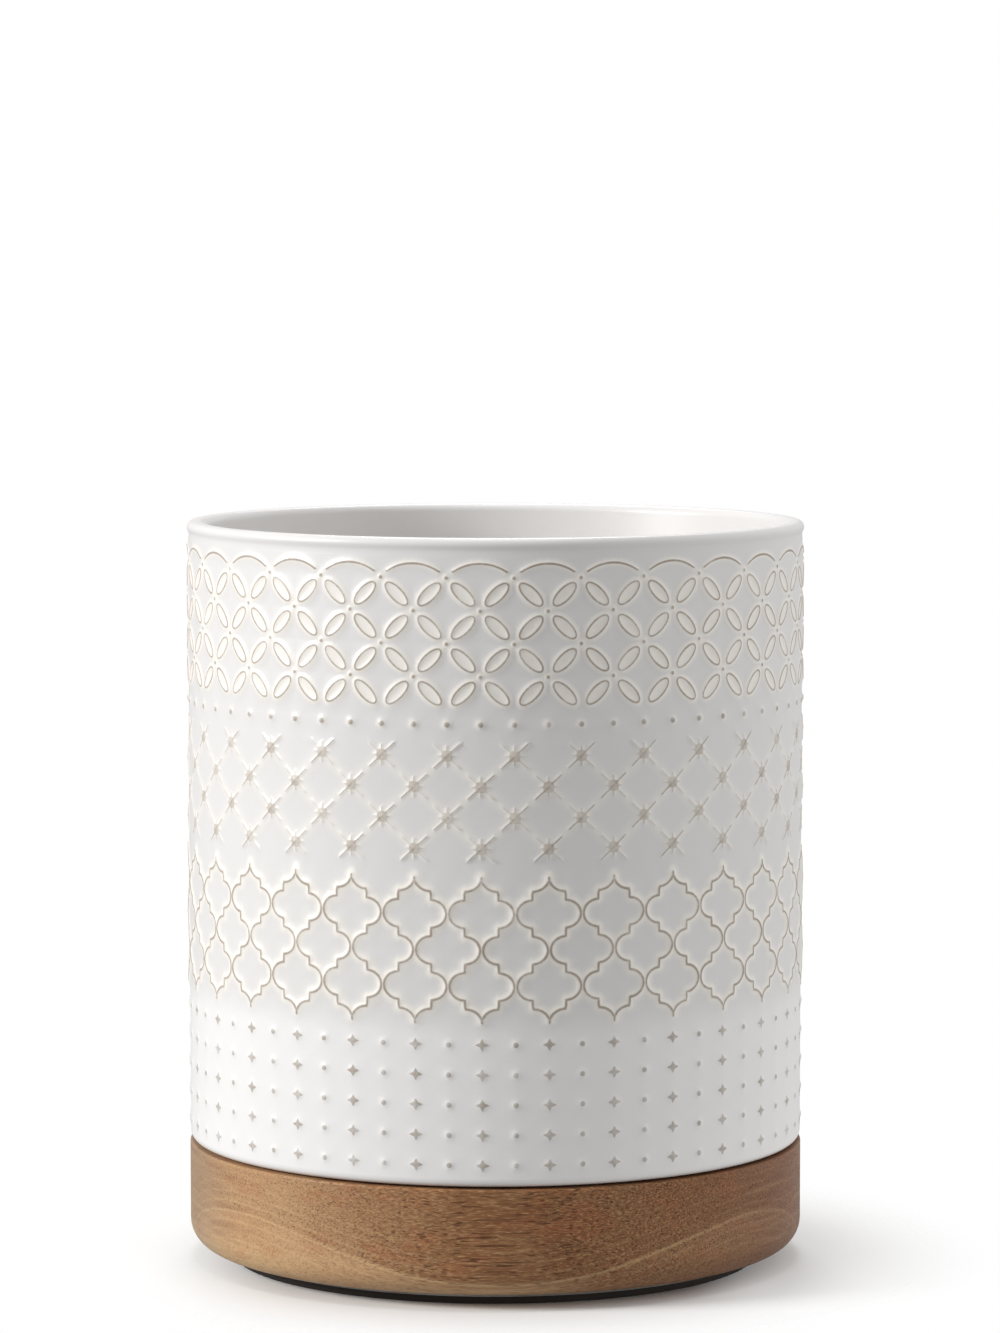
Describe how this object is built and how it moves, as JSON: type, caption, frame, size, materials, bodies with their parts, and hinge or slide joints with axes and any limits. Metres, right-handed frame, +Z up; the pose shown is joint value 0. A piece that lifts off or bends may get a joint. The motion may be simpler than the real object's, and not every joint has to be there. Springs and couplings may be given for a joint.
{
  "type": "utensil crock",
  "caption": "Straight white-glazed stoneware crock with embossed bands that lifts out of a turned wooden base, which turns on a hidden ball bearing; holds kitchen utensils.",
  "frame": {"origin": "on the table under the middle, where the turning axis meets the face of the rubber ring", "axes": "+Z up along the turning axis; the side that the picture shows faces -Y"},
  "size_m": [0.155, 0.155, 0.1861],
  "materials": {
    "glaze": "satin white glaze",
    "wood": "oiled acacia",
    "race_aluminium": "turned",
    "ball_steel": "polished",
    "cage_nylon": "natural nylon",
    "screw_steel": "zinc plated",
    "plate_steel": "zinc plated",
    "foot_rubber": "matt",
    "pad_silicone": "clear silicone"
  },
  "bodies": {
    "foot": {"foot_ring": "foot_rubber", "foot_plate": "plate_steel", "foot_screws": "screw_steel", "inner_race": "race_aluminium"},
    "base": {"wood_base": "wood", "outer_race_upper": "race_aluminium", "outer_race_lower": "race_aluminium", "base_screws": "screw_steel", "seat_pad_1": "pad_silicone", "seat_pad_2": "pad_silicone", "seat_pad_3": "pad_silicone", "seat_pad_4": "pad_silicone"},
    "bearing_cage": {"ball_cage": "cage_nylon", "ball_01": "ball_steel", "ball_02": "ball_steel", "ball_03": "ball_steel", "ball_04": "ball_steel", "ball_05": "ball_steel", "ball_06": "ball_steel", "ball_07": "ball_steel", "ball_08": "ball_steel", "ball_09": "ball_steel", "ball_10": "ball_steel", "ball_11": "ball_steel", "ball_12": "ball_steel", "ball_13": "ball_steel", "ball_14": "ball_steel", "ball_15": "ball_steel", "ball_16": "ball_steel", "ball_17": "ball_steel", "ball_18": "ball_steel", "ball_19": "ball_steel", "ball_20": "ball_steel", "ball_21": "ball_steel", "ball_22": "ball_steel", "ball_23": "ball_steel", "ball_24": "ball_steel"},
    "crock": {"crock": "glaze"}
  },
  "joints": [
    {"name": "base_turn", "type": "hinge", "parent": "foot", "child": "base", "pos_m": [0, 0, 0.008], "axis": [0, 0, 1], "continuous": true},
    {"name": "cage_turn", "type": "hinge", "parent": "foot", "child": "bearing_cage", "pos_m": [0, 0, 0.008], "axis": [0, 0, 1], "continuous": true},
    {"name": "crock_lift", "type": "slide", "parent": "base", "child": "crock", "axis": [0, 0, 1], "range_m": [0, 0.15]}
  ],
  "couplings": [
    {"joint": "cage_turn", "follows": "base_turn", "ratio": 0.5255}
  ]
}
